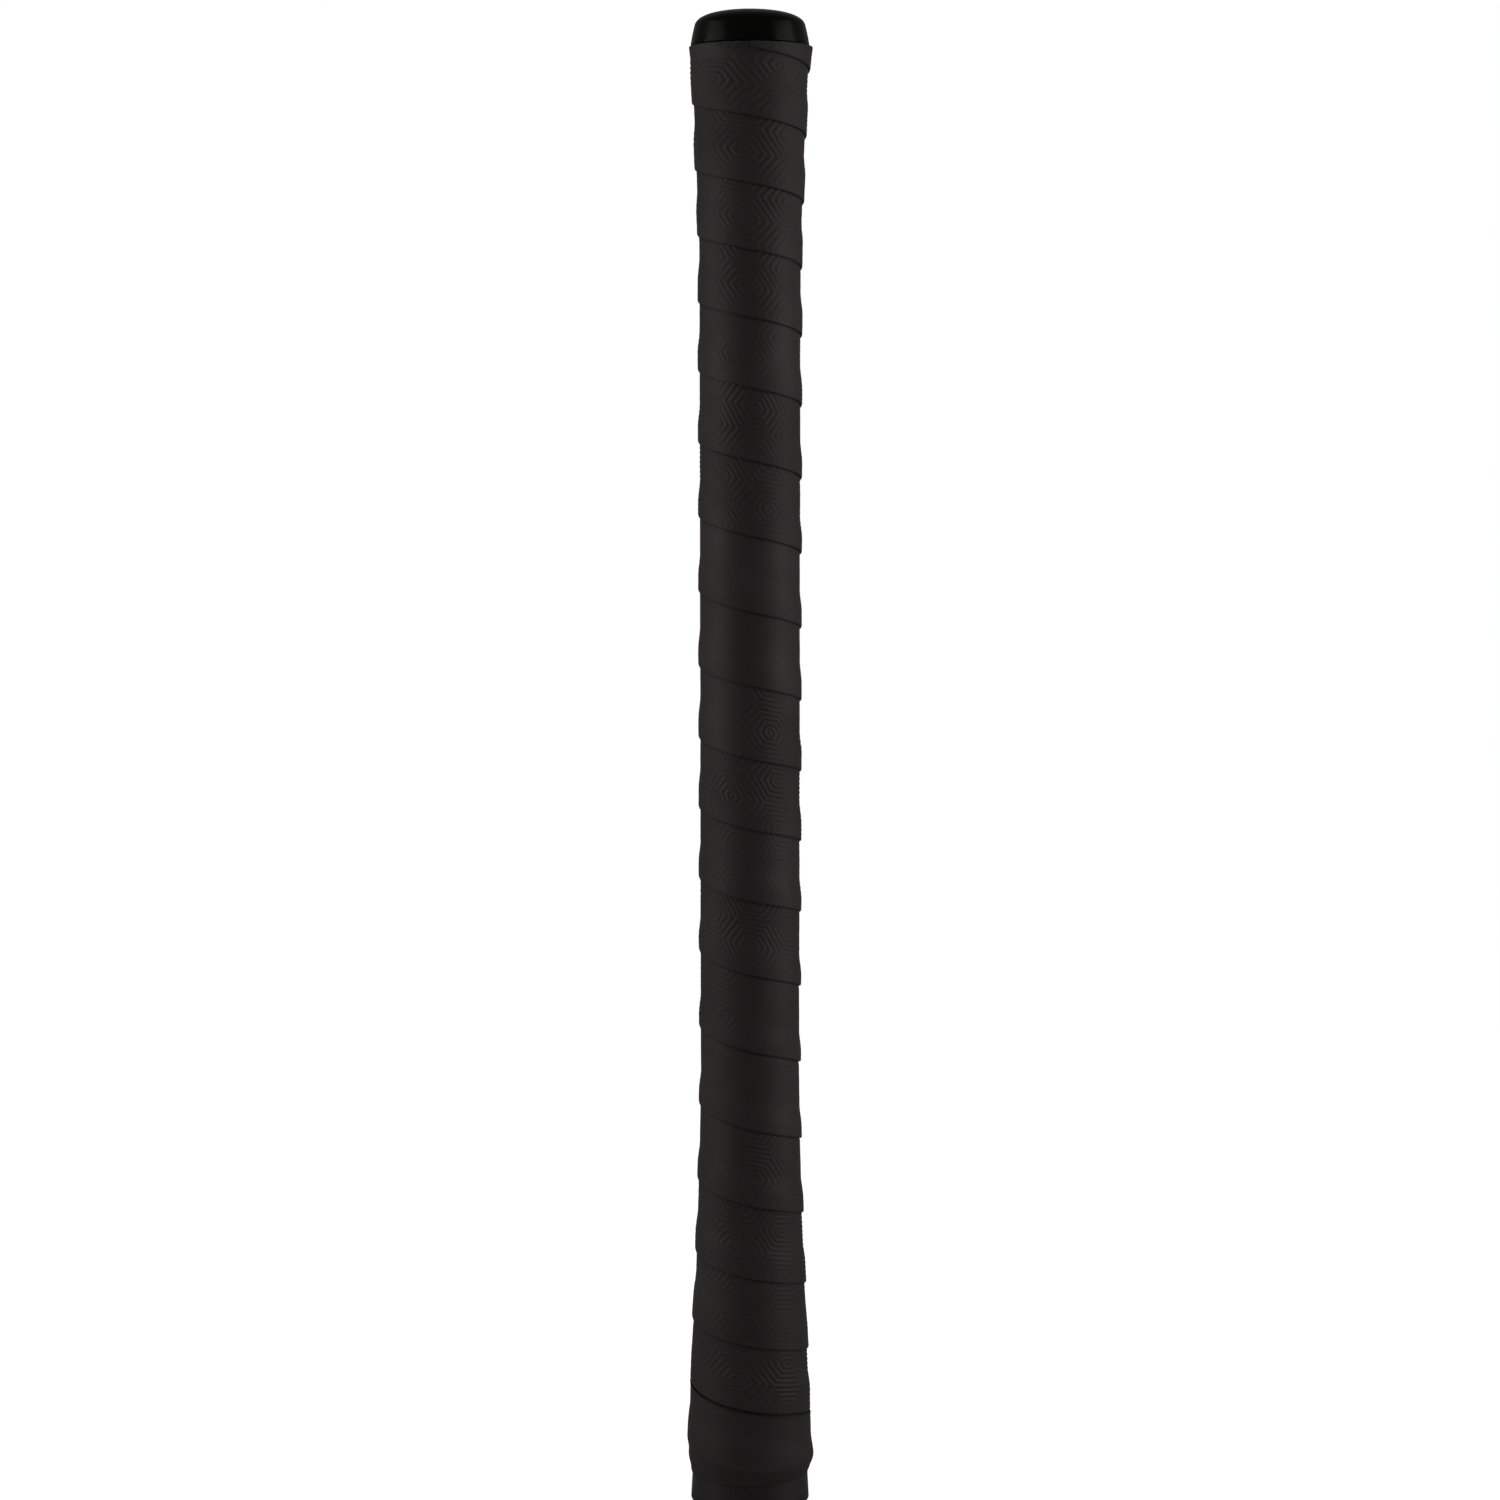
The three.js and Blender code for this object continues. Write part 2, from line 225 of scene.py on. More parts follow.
# ---- Material helpers ------------------------------------------------------------------------------
class Paint:
    """One node material, with short calls for the nodes that the finishes here share."""

    def __init__(self, name, **sockets):
        self.material = bpy.data.materials.new(name)
        self.material.use_nodes = True
        self.tree = self.material.node_tree
        self.shader = self.tree.nodes["Principled BSDF"]
        self.set(self.shader, sockets)

    def set(self, node, sockets):
        for key, value in sockets.items():
            socket = node.inputs[key.replace("_", " ")] if isinstance(key, str) else node.inputs[key]
            if isinstance(value, bpy.types.NodeSocket):
                self.tree.links.new(value, socket)
            else:
                socket.default_value = value

    def node(self, kind, inputs=(), **settings):
        node = self.tree.nodes.new("ShaderNode" + kind)
        for key, value in settings.items():
            setattr(node, key, value)
        self.set(node, dict(inputs))
        return node

    def math(self, operation, a, b=0.0, c=0.0):
        return self.node("Math", {0: a, 1: b, 2: c}, operation=operation).outputs[0]

    def attribute(self, name):
        return self.node("Attribute", attribute_name=name).outputs["Fac"]

    def place(self, scale=(1, 1, 1)):
        """The piece's own coordinates in metres, stretched by scale."""
        coordinates = self.node("TexCoord").outputs["Object"]
        return self.node("Mapping", {"Vector": coordinates, "Scale": scale}).outputs[0]

    def noise(self, scale, detail=4.0, roughness=0.5, stretch=(1, 1, 1)):
        inputs = {
            "Vector": self.place(stretch),
            "Scale": scale,
            "Detail": detail,
            "Roughness": roughness,
        }
        return self.node("TexNoise", inputs).outputs["Fac"]

    def cells(self, scale):
        inputs = {"Vector": self.place(), "Scale": scale}
        return self.node("TexVoronoi", inputs, feature="F1").outputs["Distance"]

    def span(self, value, low, high, to_low, to_high):
        inputs = {"Value": value, "From Min": low, "From Max": high, "To Min": to_low, "To Max": to_high}
        return self.node("MapRange", inputs).outputs["Result"]

    def ramp(self, value, stops):
        node = self.node("ValToRGB", {"Fac": value})
        elements = node.color_ramp.elements
        while len(elements) < len(stops):
            elements.new(0.5)
        for element, (position, color) in zip(elements, stops):
            element.position = position
            element.color = (*color, 1)
        return node.outputs["Color"]

    def mix(self, factor, a, b):
        node = self.node("Mix", data_type="RGBA")
        for socket, value in ((node.inputs[0], factor), (node.inputs[6], a), (node.inputs[7], b)):
            if isinstance(value, bpy.types.NodeSocket):
                self.tree.links.new(value, socket)
            else:
                socket.default_value = (*value, 1) if isinstance(value, tuple) else value
        return node.outputs[2]

    def bump(self, height, distance, strength=1.0, below=None):
        inputs = {"Height": height, "Distance": distance, "Strength": strength}
        if below is not None:
            inputs["Normal"] = below
        return self.node("Bump", inputs).outputs["Normal"]

    def finish(self, obj, **sockets):
        self.set(self.shader, sockets)
        self.give(obj)

    def give(self, obj):
        obj.data.materials.clear()
        obj.data.materials.append(self.material)


# ---- The grip tape's cover -------------------------------------------------------------------------
HEX = 13.7  # flat to flat of an embossed hexagon, across the tape
HEX_COLUMN = HEX * math.sqrt(3) / 2  # distance between columns in the pattern's own measure
HEX_RINGS = 5
RING = HEX / 2 / HEX_RINGS
FIRST_ROW = 8.6  # from the tape's lower edge to the centres of the even columns
EMBOSS_DEPTH = 0.18
COLUMNS_PER_TURN, COLUMN_OFFSET = 6.7, 8.61
TOP_STRETCH, TOP_STRETCH_TO = 0.117, 5.2  # extra columns per turn squared, above this turn
HIDDEN_STATIONS = 48  # sections to a turn in the layers under the cover
PLAIN_PANELS = ((6.55, 8.98), (12.95, 14.98))  # turns over which the tape is left smooth
FAINT_TURNS = ((4.15, 0.35, 0.55), (11.1, 0.4, 0.6), (17.1, 0.35, 0.5))  # centre, half width, loss


# A hand stretches the tape unevenly: how many columns the pattern runs ahead of an even run, by turn.
CREEP_TURNS = (1, 2, 3, 6, 7, 9, 10, 12, 15, 16, 18)
CREEP_COLUMNS = (0, 0.25, 0, 0, -0.28, -0.13, 0, 0.16, 0, -0.3, 0.25)


def columns(turn):
    """Columns of hexagons passed since the start. The tape is stretched a little near the top."""
    stretch = TOP_STRETCH * np.clip(TOP_STRETCH_TO - turn, 0, None) ** 2
    creep = np.interp(turn, CREEP_TURNS, CREEP_COLUMNS)
    return COLUMNS_PER_TURN * turn - COLUMN_OFFSET + stretch + creep


def hexagons(along, across):
    """Distance from the centre of the hexagon that a point is in, measured to its flats."""
    def nearest(shift_x, shift_y):
        x = (along + shift_x + HEX_COLUMN) % (2 * HEX_COLUMN) - HEX_COLUMN
        y = (across - FIRST_ROW + shift_y + HEX / 2) % HEX - HEX / 2
        return x, y

    xa, ya = nearest(0, 0)
    xb, yb = nearest(HEX_COLUMN, HEX / 2)
    first = xa**2 + ya**2 < xb**2 + yb**2
    x, y = np.abs(np.where(first, xa, xb)), np.abs(np.where(first, ya, yb))
    return np.maximum(y, x * math.sqrt(3) / 2 + y / 2)


def emboss_strength(turn, above_edge):
    """How clearly the pattern shows: not at all on plain panels, less where the tape is worn."""
    plain = sum(
        smooth(turn, a - 0.02, a + 0.02) - smooth(turn, b - 0.02, b + 0.02) for a, b in PLAIN_PANELS
    )
    faint = sum(loss * np.exp(-(((turn - at) / half) ** 2)) for at, half, loss in FAINT_TURNS)
    mottled = 0.72 + 0.28 * soft_noise(turn * 7, above_edge / 9, 5)
    near_seam = 0.45 + 0.55 * smooth(above_edge, 1.0, 8.0)
    edge_land = smooth(above_edge, 0.5, 1.3)
    return (1 - plain) * (1 - faint) * mottled * near_seam * edge_land


def cover_height(turn, above_edge):
    """Height of the tape's face over the wound surface, above_edge up from its lower edge."""
    over = overlap(turn)
    flat = thickness(turn)
    step = thickness(turn + 1) + RIDE_GAP + FACE_EDGE
    riding = 1 - smooth(above_edge, over - 4.5, over + 2.5)
    height = flat + (step - flat) * riding
    height = height - 0.17 * np.clip(1 - above_edge / 0.5, 0, 1) ** 2
    skived = np.clip((AXIAL_WIDTH - above_edge) / BEVEL, 0, 1)
    return np.minimum(height, FEATHER + (height - FEATHER) * skived)


def cover_underside(turn, above_edge):
    """Height of the cover's back over the wound surface."""
    start = thickness(turn + 1) + RIDE_GAP
    flat = thickness(turn) - COVER_THICK
    height = start + (flat - start) * np.clip(above_edge / (overlap(turn) + RAMP), 0, 1)
    thin = FEATHER - 0.05
    skived = np.clip((AXIAL_WIDTH - above_edge) / BEVEL, 0, 1)
    return np.minimum(height, thin + (flat - thin) * skived)


def tape_layer(name, per_turn, reach, outside, inside):
    """One layer of the tape, cut off level at the top and the bottom.

    reach(turn) gives how far up from the tape's lower edge the layer starts and ends. outside and
    inside are (shares, height): the section's points as shares of that reach, and a function of
    the turn and the distance up that gives their height. It returns the piece, and the turn and
    the distance up of each of its points.
    """
    turns = np.arange(WIND_START * per_turn, WIND_END * per_turn + 1) / per_turn
    low = lower_edge(turns)
    start, stop = reach(turns)
    start = np.maximum(start, TAPE_BOTTOM - low)
    stop = np.minimum(stop, TAPE_TOP - low)
    kept = stop - start > LEAST_STRIP
    turns, low, start, stop = (v[kept][:, None] for v in (turns, low, start, stop))
    up, height = [], []
    for (shares, height_at), order in ((outside, 1), (inside, -1)):
        u = start + np.asarray(shares)[None, ::order] * (stop - start)
        up.append(u)
        height.append(height_at(turns, u))
    up = np.concatenate(up, axis=1)
    wave = np.clip(1 - up / 3, 0, 1) * (
        0.16 * soft_noise(turns * 5, 0.5, 3) + 0.07 * soft_noise(turns * 19, 0.5, 4)
    )
    z = np.clip(low + up + wave, TAPE_BOTTOM, TAPE_TOP)
    radius = wind_radius(z) + np.concatenate(height, axis=1)
    turn_of = np.broadcast_to(turns, up.shape)
    return ribbon(name, turns[:, 0], radius, z), turn_of, up


def whole_width(turns):
    return 0 * turns, 0 * turns + AXIAL_WIDTH


def embossed_face(turn, up):
    """The cover's face with its pattern and the slight unevenness of the cushion under it."""
    across = up * math.cos(HELIX_ANGLE)
    to_flat = hexagons(columns(turn) * HEX_COLUMN, across)
    valley = 0.5 - 0.5 * np.cos(TAU * to_flat / RING)
    uneven = 0.05 * soft_noise(turn * 8, up / 7, 11) + 0.02 * soft_noise(turn * 23, up / 3, 12)
    relief = EMBOSS_DEPTH * emboss_strength(turn, across) * (0.4 - valley)
    height = cover_height(turn, up) + relief
    return np.maximum(height + uneven * smooth(up, 0.4, 3), cover_underside(turn, up) + 0.05)


def grip_cover():
    per_turn, fine = ((230, 76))
    edge = np.array([0.0, 0.15, 0.35])
    face = np.linspace(0.6, 23.6, fine)
    hidden = np.array([25.2, 27.0, 28.6, 30.0, AXIAL_WIDTH])
    outside = np.concatenate([edge, face, hidden]) / AXIAL_WIDTH
    inside = np.array([0.02, 4.0, 9.0, 14.0, AXIAL_WIDTH - BEVEL, AXIAL_WIDTH]) / AXIAL_WIDTH
    piece, turn, up = tape_layer(
        "grip_tape_cover",
        per_turn,
        whole_width,
        (outside, embossed_face),
        (inside, cover_underside),
    )
    across = up * math.cos(HELIX_ANGLE)
    add_attribute(piece, "along", columns(turn) * HEX_COLUMN)
    add_attribute(piece, "across", across)
    add_attribute(piece, "strength", emboss_strength(turn, across))
    below_seam = seam_height(turn) - lower_edge(turn) - up
    # Painted shade: the cover is darkened along its own lower edge and just below the seam where the turn
    # above reaches over it.
    cover_seam_shade = np.exp(-up / 0.25) + np.exp(-np.abs(below_seam - 0.2) / 0.35)
    add_attribute(piece, "painted_seam_shade", 0.8 * np.clip(cover_seam_shade, 0, 1))
    return piece


def cushion_backing():
    rest = ADHESIVE_THICK + 2 * FILM_GAP

    def reach(turns):
        face = thickness(turns) - COVER_THICK - FILM_GAP
        taper = BEVEL * (face - rest) / (thickness(turns) - COVER_THICK - FEATHER)
        return overlap(turns) - CUSHION_TUCK, AXIAL_WIDTH - BEVEL + taper

    def face_at(turn, up):
        return np.maximum(cover_underside(turn, up) - 0.05, rest + 0.02)

    def back_at(turn, up):
        below = np.clip((overlap(turn) - up) / BEVEL, 0, 1)
        return np.maximum(rest, FEATHER + 0.05 + (thickness(turn + 1) - FEATHER) * below)

    shares = np.linspace(0, 1, 9)
    return tape_layer("cushion_felt", HIDDEN_STATIONS, reach, (shares, face_at), (shares, back_at))[0]


def adhesive_strip():
    def reach(turns):
        return 0 * turns + ADHESIVE_FROM, 0 * turns + ADHESIVE_TO

    ends = np.array([0.0, 1.0])
    face = (ends, lambda turn, up: 0 * up + FILM_GAP + ADHESIVE_THICK)
    back = (ends, lambda turn, up: 0 * up + FILM_GAP)
    return tape_layer("adhesive_film", HIDDEN_STATIONS, reach, face, back)[0]


# ---- The finishing tape ----------------------------------------------------------------------------
FILM_START, FILM_TURNS = 18.93, 1.35  # from the front left, round to just behind the right side
FILM_THICK, FILM_STEP = 0.22, 0.26
EDGE_DRAW = 0.8  # how far its lower edge lies above the CAD solid's lower edge
SECOND_EDGE = 0.9  # how far the outer layer's lower edge stops short of the inner one's


def under_film(place, z):
    """Height of what the finishing tape lies on: the lowest turns of the grip, or the bare shaft."""
    height = np.zeros(np.broadcast(place, z).shape)
    for later in (-1, 0, 1):
        turn = place + later
        up = z - lower_edge(turn)
        inside = (up >= 0) & (up <= AXIAL_WIDTH) & (turn <= WIND_END)
        height = np.where(inside, np.maximum(height, cover_height(turn, up)), height)
    return height * smooth(z, TAPE_BOTTOM - 3.2, TAPE_BOTTOM + 1.2)


def finishing_tape():
    per_turn, rows = ((240, 72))
    turns = FILM_START + np.arange(0, FILM_TURNS * per_turn + 1) / per_turn
    place = (turns - FINISH_SEAM_FROM) % 1 + FINISH_SEAM_FROM
    climb = smooth(place, CROSS_FROM, CROSS_TO)
    top = seam_height(place) + (seam_height(place - 1) - seam_height(place)) * climb
    top = top - FINISH_GAP - 0.35 * smooth(turns, FILM_START + 0.95, FILM_START + 1.05)
    outer = smooth(turns, FILM_START + 1.06, FILM_START + 1.13)
    bottom = FINISH_BOTTOM + EDGE_DRAW + SECOND_EDGE * outer
    turns, place, top, bottom = (v[:, None] for v in (turns, place, top, bottom))
    share = np.linspace(0, 1, rows)[None, :]
    z = bottom + (top - bottom) * share
    spread = np.linspace(-1.3, 1.3, 9)
    below = sum(under_film(place, z + dz) for dz in spread) / len(spread)
    creep = 0.035 * soft_noise(turns * 9, z / 4, 21) + 0.02 * soft_noise(turns * 31, z / 2.5, 22)
    back = wind_radius(z) + below + 0.05 + FILM_STEP * (turns - FILM_START) + creep
    lip = np.clip(1 - (z - bottom) / 0.3, 0, 1) ** 2 + np.clip(1 - (top - z) / 0.3, 0, 1) ** 2
    face = back + FILM_THICK - 0.06 * lip
    radius = np.concatenate([face, back[:, ::-1]], axis=1)
    height = np.concatenate([z, z[:, ::-1]], axis=1)
    piece = ribbon("finishing_tape_film", turns[:, 0], radius, height)
    # Painted shade along the film's lower edge and along its top edge, below the grip tape's lowest seam.
    film_edge_shade = 0.8 * np.exp(-(height - bottom) / 0.35) + 0.8 * np.exp(-(top - height) / 0.3)
    add_attribute(piece, "painted_edge_shade", np.clip(film_edge_shade, 0, 0.8))
    return piece


# ---- Turned pieces ---------------------------------------------------------------------------------
def shaft_shell():
    heights = np.concatenate([np.linspace(0.25, SWELL_LENGTH, 60), [SHAFT_TOP - 0.3]])
    outside = [(float(wind_radius(min(z, FLARE_START))), float(z)) for z in heights]
    chamfer_low = (outside[0][0] - 0.2, 0.0)
    top = [(GRIP_RADIUS - 0.3, SHAFT_TOP), (GRIP_RADIUS - SHAFT_WALL, SHAFT_TOP)]
    inside = [(r - SHAFT_WALL, z) for r, z in reversed(outside[:-1])]
    end = [(inside[-1][0], 0.0)]
    return revolve("shaft_tube", [chamfer_low, *outside, *top, *inside, *end])


def shaft_core():
    top = SHAFT_TOP - PLUG_LENGTH - FIT
    heights = np.linspace(0, SWELL_LENGTH, 40)
    side = [(float(wind_radius(z)) - SHAFT_WALL - FIT * 0.3, float(z)) for z in heights]
    return revolve("shaft_foam_core", [(0, 0), *side, (side[-1][0], top), (0, top)])


def butt_plug():
    radius = GRIP_RADIUS - SHAFT_WALL - FIT * 0.3
    bottom, floor = SHAFT_TOP - PLUG_LENGTH, SHAFT_TOP - SOCKET_DEPTH
    rim = 0.5
    profile = [
        (0, bottom),
        (radius - 1, bottom),
        (radius, bottom + 1),
        (radius, SHAFT_TOP - rim),
        *rounded((radius, bottom), (radius, SHAFT_TOP), (SOCKET_RADIUS, SHAFT_TOP), rim),
        *rounded((radius, SHAFT_TOP), (SOCKET_RADIUS, SHAFT_TOP), (SOCKET_RADIUS, floor), rim),
        (SOCKET_RADIUS, floor + 0.4),
        (SOCKET_RADIUS - 0.4, floor),
        (0, floor),
    ]
    return revolve("plug_insert", profile)


def butt_sleeve():
    bore = GRIP_RADIUS + FILM_GAP * 0.5
    heights = np.linspace(SLEEVE_START, SHAFT_TOP - 0.3, 40)
    outside = [(float(wind_radius(z)), float(z)) for z in heights]
    lip = (outside[-1][0] - 0.3, SHAFT_TOP)
    return revolve("butt_build_up", [(bore, SLEEVE_START), *outside, lip, (bore, SHAFT_TOP)])


def end_cap():
    """A shallow dome on a side that draws in upwards, with a ribbed stem under it."""
    top = CAP_SEAT + CAP_HEIGHT
    ribs = []
    for i in range(STEM_RIBS):
        z = CAP_SEAT - STEM_LENGTH + STEM_TIP + STEM_RIB_PITCH * (i + 0.5)
        start, end = (STEM_RADIUS, z - STEM_RIB_HALF), (STEM_RADIUS, z + STEM_RIB_HALF)
        ribs += curve_points(start, (2 * STEM_RIB_RADIUS - STEM_RADIUS, z), end, 9)
    foot = CAP_SEAT - STEM_LENGTH
    tip = rounded((0, foot), (STEM_RADIUS, foot), ribs[0], STEM_TIP)
    root = [
        (STEM_RADIUS, CAP_SEAT - 0.9),
        (STEM_RADIUS + 0.25, CAP_SEAT - 0.25),
        (STEM_RADIUS + 0.9, CAP_SEAT),
    ]
    rim = rounded((0, CAP_SEAT), (CAP_RIM, CAP_SEAT), (CAP_RIM, top), 0.35)
    side = curve_points(
        (CAP_RIM, CAP_SEAT + CAP_RIM_RISE),
        (CAP_RIM - CAP_SIDE_INSET, CAP_SEAT + CAP_SIDE_RISE / 2),
        (CAP_SHOULDER, CAP_SEAT + CAP_SIDE_RISE),
        14,
    )
    shoulder = curve_points(
        (CAP_SHOULDER, CAP_SEAT + CAP_SIDE_RISE),
        (CAP_SHOULDER - CAP_SHOULDER_INSET, top - CAP_SHOULDER_DROP),
        (CAP_CROWN, top - CAP_CROWN_DROP),
        30,
    )[1:]
    crown_radii = np.linspace(CAP_CROWN, 0, 9)[1:-1]
    crown = [(r, top - CAP_CROWN_DROP * (r / CAP_CROWN) ** 2) for r in crown_radii]
    profile = [(0, foot), *tip, *ribs, *root, *rim, *side, *shoulder, *crown, (0, top)]
    return revolve("butt_cap", profile, steps=256, sharp_deg=50)


# ---- Finishes --------------------------------------------------------------------------------------
PAINTED_SHADE_COLOR = (0.0030, 0.0022, 0.0024)  # colour of the painted shade along the seams and edges of the tapes


def paint_cover(obj):
    """Soft matt polyurethane: the hexagons' fine edges, a leathery grain and handling marks, with painted
    shade in the grooves and along the seams.
    """
    paint = Paint("polyurethane cover", Specular_IOR_Level=0.27)
    along, across = paint.attribute("along"), paint.attribute("across")
    cell = (HEX_COLUMN, HEX / 2, 0.5)
    corner = tuple(-v for v in cell)
    from_row = paint.math("SUBTRACT", across, FIRST_ROW)
    point = paint.node("CombineXYZ", {"X": along, "Y": from_row}).outputs[0]
    moved = paint.node("VectorMath", {0: point, 1: (cell[0], cell[1], 0)}, operation="ADD").outputs[0]
    offsets, lengths = [], []
    for start in (point, moved):
        wrapped = paint.node("VectorMath", {0: start, 1: cell, 2: corner}, operation="WRAP").outputs[0]
        flat = paint.node("VectorMath", {0: wrapped, 1: (1, 1, 0)}, operation="MULTIPLY").outputs[0]
        offsets.append(paint.node("VectorMath", {0: flat}, operation="ABSOLUTE").outputs[0])
        lengths.append(paint.node("VectorMath", {0: flat}, operation="LENGTH").outputs["Value"])
    second = paint.math("GREATER_THAN", lengths[0], lengths[1])
    inside = paint.node("Mix", data_type="VECTOR")
    paint.tree.links.new(second, inside.inputs[0])
    paint.tree.links.new(offsets[0], inside.inputs[4])
    paint.tree.links.new(offsets[1], inside.inputs[5])
    xyz = paint.node("SeparateXYZ", {0: inside.outputs[1]})
    half_y = paint.math("MULTIPLY", xyz.outputs["Y"], 0.5)
    slanted = paint.math("MULTIPLY_ADD", xyz.outputs["X"], math.sqrt(3) / 2, half_y)
    to_flat = paint.math("MAXIMUM", xyz.outputs["Y"], slanted)
    wave = paint.math("COSINE", paint.math("MULTIPLY", to_flat, TAU / RING))
    strength = paint.attribute("strength")
    ridge = paint.math("MULTIPLY", paint.span(wave, -1, 1, 0, 1), strength)
    groove_shade_mask = paint.math("MULTIPLY", paint.span(wave, -1, -0.2, 1, 0), strength)

    grain = paint.noise(5200, detail=3, roughness=0.55)
    pores = paint.cells(2600)
    rubbed = paint.noise(38, detail=5, roughness=0.6)
    blotch = paint.noise(90, detail=3, stretch=(1, 1, 0.5))

    charcoal = paint.ramp(blotch, [(0.3, (0.0180, 0.0118, 0.0129)), (0.7, (0.0248, 0.0163, 0.0178))])
    # Painted shade: the grooves between the hexagon rings are darkened.
    valley = paint.mix(paint.span(groove_shade_mask, 0, 1, 0, 0.5), charcoal, (0.007, 0.0052, 0.0056))
    # Darker at the centres of the pores, the pits of the pore bump below.
    mottled = paint.mix(paint.span(pores, 0, 0.35, 0.18, 0.0), valley, (0.009, 0.0068, 0.0074))
    # Painted shade along the seams: darker at the cover's lower edge and just below the turn above.
    color = paint.mix(paint.attribute("painted_seam_shade"), mottled, PAINTED_SHADE_COLOR)
    rub = paint.span(rubbed, 0.3, 0.7, 0.56, 0.70)
    roughness = paint.math("ADD", rub, paint.span(grain, 0, 1, -0.04, 0.04))
    pattern = paint.bump(ridge, 0.00012, 0.6)
    leather = paint.bump(grain, 0.00006, 0.30, pattern)
    normal = paint.bump(pores, 0.00005, 0.22, leather)
    paint.finish(obj, Base_Color=color, Roughness=roughness, Normal=normal)


def paint_film(obj):
    """Smooth stretch tape, drawn tight, with faint stretch lines round the handle."""
    paint = Paint("stretch tape", Specular_IOR_Level=0.26)
    lines = paint.noise(700, detail=4, roughness=0.6, stretch=(0.25, 0.25, 1.6))
    grain = paint.noise(6000, detail=2)
    cloud = paint.noise(60, detail=4)
    plain = paint.ramp(cloud, [(0.3, (0.0196, 0.0130, 0.0142)), (0.7, (0.0256, 0.0170, 0.0186))])
    # Painted shade along the film's top and bottom edges.
    color = paint.mix(paint.attribute("painted_edge_shade"), plain, PAINTED_SHADE_COLOR)
    roughness = paint.span(cloud, 0.3, 0.7, 0.60, 0.72)
    normal = paint.bump(grain, 0.00004, 0.2, paint.bump(lines, 0.00012, 0.22))
    paint.finish(obj, Base_Color=color, Roughness=roughness, Normal=normal)


def paint_cap(obj):
    """Glossy black moulding with faint handling haze and hairline scratches."""
    paint = Paint("gloss moulding", Base_Color=(0.0026, 0.0028, 0.0018, 1), Specular_IOR_Level=0.06)
    haze = paint.noise(120, detail=6, roughness=0.65)
    scratch = paint.noise(900, detail=2, stretch=(1, 0.04, 1))
    fine = paint.span(scratch, 0.62, 0.72, 0, 0.10)
    roughness = paint.math("ADD", paint.span(haze, 0.35, 0.7, 0.22, 0.32), fine)
    normal = paint.bump(paint.noise(420, detail=2), 0.00003, 0.12)
    paint.finish(obj, Roughness=roughness, Normal=normal)


def paint_composite(obj):
    """Dark satin composite: fibres along the shaft under a thin clear coat."""
    paint = Paint("satin composite", Coat_Weight=0.1, Coat_Roughness=0.3, Specular_IOR_Level=0.25)
    fibres = paint.noise(1500, detail=3, stretch=(1, 1, 0.03))
    weave = paint.noise(240, detail=4)
    color = paint.ramp(fibres, [(0.25, (0.0082, 0.0054, 0.0060)), (0.75, (0.0140, 0.0096, 0.0104))])
    roughness = paint.span(weave, 0.3, 0.7, 0.40, 0.54)
    normal = paint.bump(fibres, 0.00004, 0.25)
    paint.finish(obj, Base_Color=color, Roughness=roughness, Normal=normal)


def paint_foam(obj):
    """Sawn rigid foam with open cells."""
    paint = Paint("rigid foam", Roughness=0.92)
    cells = paint.cells(1500)
    small = paint.cells(3600)
    tone = paint.noise(150, detail=4)
    base = paint.ramp(tone, [(0.3, (0.50, 0.42, 0.25)), (0.7, (0.66, 0.58, 0.38))])
    color = paint.mix(paint.span(cells, 0.0, 0.5, 0.0, 0.55), base, (0.22, 0.17, 0.09))
    normal = paint.bump(small, 0.0001, 0.5, paint.bump(cells, 0.0003, 0.7))
    paint.finish(obj, Base_Color=color, Normal=normal)


def paint_nylon(obj):
    """Dark grey moulded nylon with a fine eroded texture."""
    paint = Paint("moulded nylon", Specular_IOR_Level=0.45)
    texture = paint.noise(4200, detail=3)
    flow = paint.noise(80, detail=3)
    color = paint.ramp(flow, [(0.3, (0.055, 0.058, 0.062)), (0.7, (0.075, 0.078, 0.084))])
    roughness = paint.span(flow, 0.3, 0.7, 0.48, 0.60)
    paint.finish(obj, Base_Color=color, Roughness=roughness, Normal=paint.bump(texture, 0.00005, 0.35))


def paint_rubber(obj):
    """Dull moulded rubber with a little bloom."""
    paint = Paint("build-up rubber", Specular_IOR_Level=0.3)
    bloom = paint.noise(150, detail=5)
    color = paint.ramp(bloom, [(0.35, (0.014, 0.012, 0.0125)), (0.7, (0.030, 0.027, 0.028))])
    roughness = paint.span(bloom, 0.3, 0.7, 0.74, 0.88)
    paint.finish(obj, Base_Color=color, Roughness=roughness, Normal=paint.bump(bloom, 0.0001, 0.3))


def paint_felt(obj):
    """Needle-punched felt."""
    paint = Paint("felt backing", Roughness=0.95, Sheen_Weight=0.3, Sheen_Roughness=0.5)
    hairs = paint.noise(3000, detail=5, roughness=0.7, stretch=(1, 1, 2.5))
    color = paint.ramp(hairs, [(0.3, (0.05, 0.045, 0.04)), (0.7, (0.13, 0.12, 0.11))])
    paint.finish(obj, Base_Color=color, Normal=paint.bump(hairs, 0.0002, 0.6))


def paint_adhesive(obj):
    """Clear-set adhesive on a pale film."""
    paint = Paint("adhesive film", Specular_IOR_Level=0.5)
    smear = paint.noise(400, detail=3)
    color = paint.ramp(smear, [(0.3, (0.58, 0.54, 0.42)), (0.7, (0.72, 0.68, 0.56))])
    roughness = paint.span(smear, 0.3, 0.7, 0.25, 0.45)
    paint.finish(obj, Base_Color=color, Roughness=roughness, Normal=paint.bump(smear, 0.00008, 0.3))


